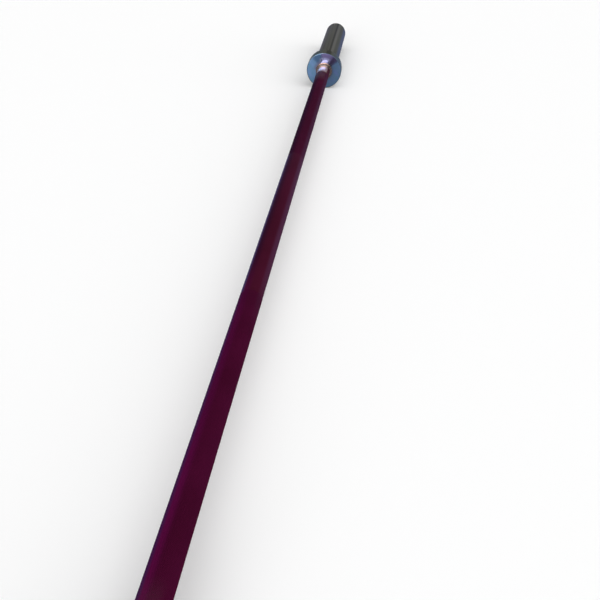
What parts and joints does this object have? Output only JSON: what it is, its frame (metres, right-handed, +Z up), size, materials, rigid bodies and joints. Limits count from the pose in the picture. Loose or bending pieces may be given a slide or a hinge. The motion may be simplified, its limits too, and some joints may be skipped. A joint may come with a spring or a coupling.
{
  "type": "barbell with rotating sleeves",
  "caption": "Straight weightlifting bar: a long coated, knurled shaft with a round collar and a plate sleeve at each end, which spin freely on flanged bronze bushings.",
  "frame": {"origin": "middle of the bar's length, on its axis", "axes": "+X along the bar towards its right end, the end that the picture shows; +Z up when the bar lies on its collars on a floor"},
  "size_m": [1.83, 0.078, 0.078],
  "materials": {
    "shaft_coat": "burgundy baked coat over steel, knurled where the hands go",
    "collar_zinc": "bright blue-passivated zinc plate on turned steel",
    "sleeve_phosphate": "dark phosphate on turned steel, satin",
    "bushing_bronze": "turned bearing bronze",
    "washer_steel": "ground hardened steel",
    "spring_steel": "oil-blackened spring steel",
    "cap_steel": "turned steel, bright"
  },
  "bodies": {
    "bar": {"shaft": "shaft_coat", "right_inner_thrust_washer": "washer_steel", "right_outer_thrust_washer": "washer_steel", "right_journal_ring": "spring_steel", "left_inner_thrust_washer": "washer_steel", "left_outer_thrust_washer": "washer_steel", "left_journal_ring": "spring_steel"},
    "right_sleeve": {"right_collar": "collar_zinc", "right_sleeve_tube": "sleeve_phosphate", "right_inner_bushing": "bushing_bronze", "right_outer_bushing": "bushing_bronze", "right_end_cap": "cap_steel", "right_cap_ring": "spring_steel", "right_collar_pin": "spring_steel"},
    "left_sleeve": {"left_collar": "collar_zinc", "left_sleeve_tube": "sleeve_phosphate", "left_inner_bushing": "bushing_bronze", "left_outer_bushing": "bushing_bronze", "left_end_cap": "cap_steel", "left_cap_ring": "spring_steel", "left_collar_pin": "spring_steel"}
  },
  "joints": [
    {"name": "right_sleeve_spin", "type": "hinge", "parent": "bar", "child": "right_sleeve", "pos_m": [0.78075, 0, 0], "axis": [1, 0, 0], "continuous": true},
    {"name": "left_sleeve_spin", "type": "hinge", "parent": "bar", "child": "left_sleeve", "pos_m": [-0.78075, 0, 0], "axis": [1, 0, 0], "continuous": true}
  ]
}
